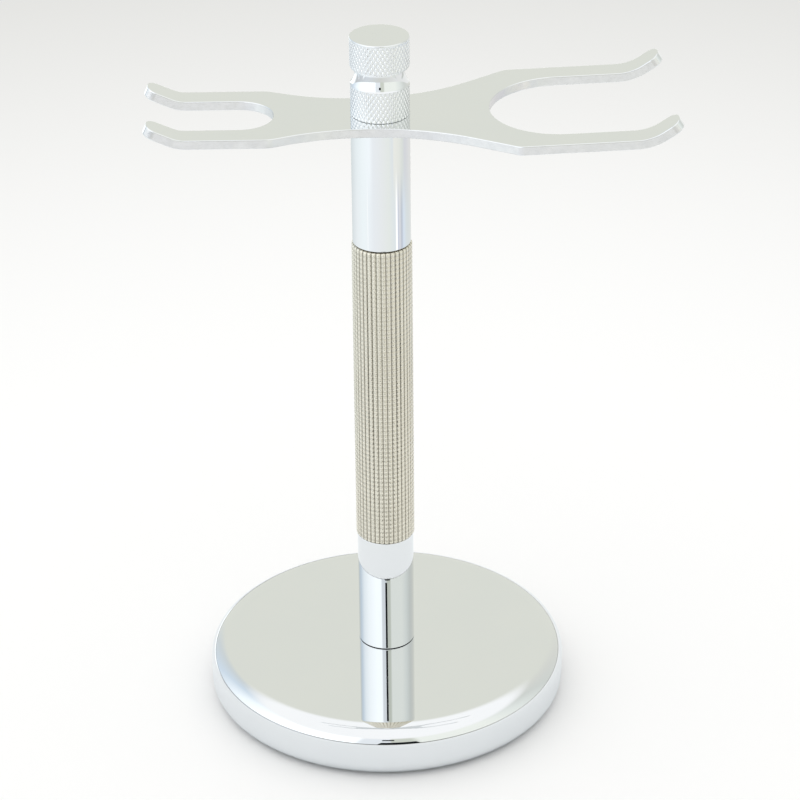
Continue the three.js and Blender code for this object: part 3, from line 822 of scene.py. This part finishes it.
def bend_plate(plate, layer, middle):
    """Moves every point to its place on the bent arms, and gives back the bent normals."""
    normals = []
    for vert in plate.verts:
        sign = 1 if vert.co.x >= 0 else -1
        x, z, heading = arm_place(abs(vert.co.x), BRUSH_ARM if sign > 0 else RAZOR_ARM)
        rise = vert.co.z
        normal = vert[layer].normalized()
        vert.co.x = sign * (x - rise * math.sin(heading))
        vert.co.z = middle + z + rise * math.cos(heading)
        normals.append(Matrix.Rotation(-sign * heading, 3, "Y") @ normal)
    return normals


def fork_blade(material, edge_finish):
    """The plate is laid out flat with its edges broken, sliced across at its bends, then bent."""
    outline = rounded_outline(fork_corners())
    turns = np.linspace(0, 2 * math.pi, HOLE_SIDES + 1)[:-1]
    hole = [Vector((math.cos(a), -math.sin(a))) * SCREW_HOLE for a in turns]
    plate = bmesh.new()
    layer = plate.verts.layers.float_vector.new("rest_normal")
    outer = broken_edge_wall(plate, layer, outline)
    inner = broken_edge_wall(plate, layer, hole)
    flat_face(plate, outer[0], inner[0], False)
    flat_face(plate, outer[1], inner[1], True)
    slice_across(plate, 1, BRUSH_ARM)
    slice_across(plate, -1, RAZOR_ARM)
    bmesh.ops.recalc_face_normals(plate, faces=plate.faces)
    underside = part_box("fork_plate")[0][2]
    normals = bend_plate(plate, layer, underside + PLATE_THICKNESS / 2)
    mesh = bpy.data.meshes.new("fork_blade")
    plate.to_mesh(mesh)
    plate.free()
    mesh.attributes.remove(mesh.attributes["rest_normal"])
    mesh.polygons.foreach_set("use_smooth", [True] * len(mesh.polygons))
    mesh.normals_split_custom_set_from_vertices(normals)
    blade = add_object("fork_blade", mesh, material)
    mesh.materials.append(edge_finish)
    for face in mesh.polygons:
        upright = abs(face.normal.z) < 0.35
        if upright and face.area > SMALLEST_EDGE_FACE:
            face.material_index = 1
    return blade


# ---------------------------------------------------------------- the stand

def put(piece, body, node):
    """Makes a finer piece ride on its body in place of a CAD node."""
    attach(piece, body)
    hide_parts(node)


def dress(node, material):
    """Gives a CAD node that keeps its own shape its finish."""
    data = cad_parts[node].data
    data.materials.clear()
    data.materials.append(material)


camera_spot = make_camera()
make_world()
make_floor()
make_camera_card(camera_spot)
make_table_edge()
bpy.context.scene.view_settings.view_transform = "Standard"

chrome = chrome_material()
knurled_chrome = knurled_chrome_material()
nickel = nickel_material()
steel = turned_metal_material("zinc_plated_steel", (0.50, 0.51, 0.53, 1), (0.66, 0.67, 0.68, 1), 0.22, 0.38)
brass = turned_metal_material("turned_brass", (0.62, 0.46, 0.19, 1), (0.78, 0.62, 0.30, 1), 0.25, 0.4)
iron = cast_iron_material()
foam = soft_material("pad_foam_rubber", (0.012, 0.012, 0.013, 1), (0.035, 0.035, 0.036, 1), 2600.0, 0.85)
rubber = soft_material("gasket_rubber", (0.01, 0.01, 0.01, 1), (0.03, 0.03, 0.03, 1), 4000.0, 0.7)
nylon = soft_material("natural_nylon", (0.70, 0.69, 0.64, 1), (0.82, 0.81, 0.77, 1), 3000.0, 0.45)

put(base_cover(chrome), "stand", "base_shell")
put(foot_pad(foam), "stand", "base_pad")
put(tube_piece("lower_tube", "lower_pole", chrome), "stand", "lower_pole")
put(tube_piece("upper_tube", "upper_pole", chrome), "stand", "upper_pole")
put(knurled_grip(nickel), "stand", "grip_sleeve")
put(fork_blade(chrome, edge_material()), "fork", "fork_plate")
put(turned_knob(knurled_chrome, chrome), "knob", "knob")
put(threaded_stud(steel), "knob", "knob_stud")

for node in ("base_screw", "base_washer", "base_spring_washer", "tie_rod", "clamp_washer"):
    dress(node, steel)
for node in ("foot_plug", "lower_coupler", "upper_coupler", "top_plug"):
    dress(node, brass)
dress("ballast_disc", iron)
dress("foot_gasket", rubber)
dress("plate_washer", nylon)
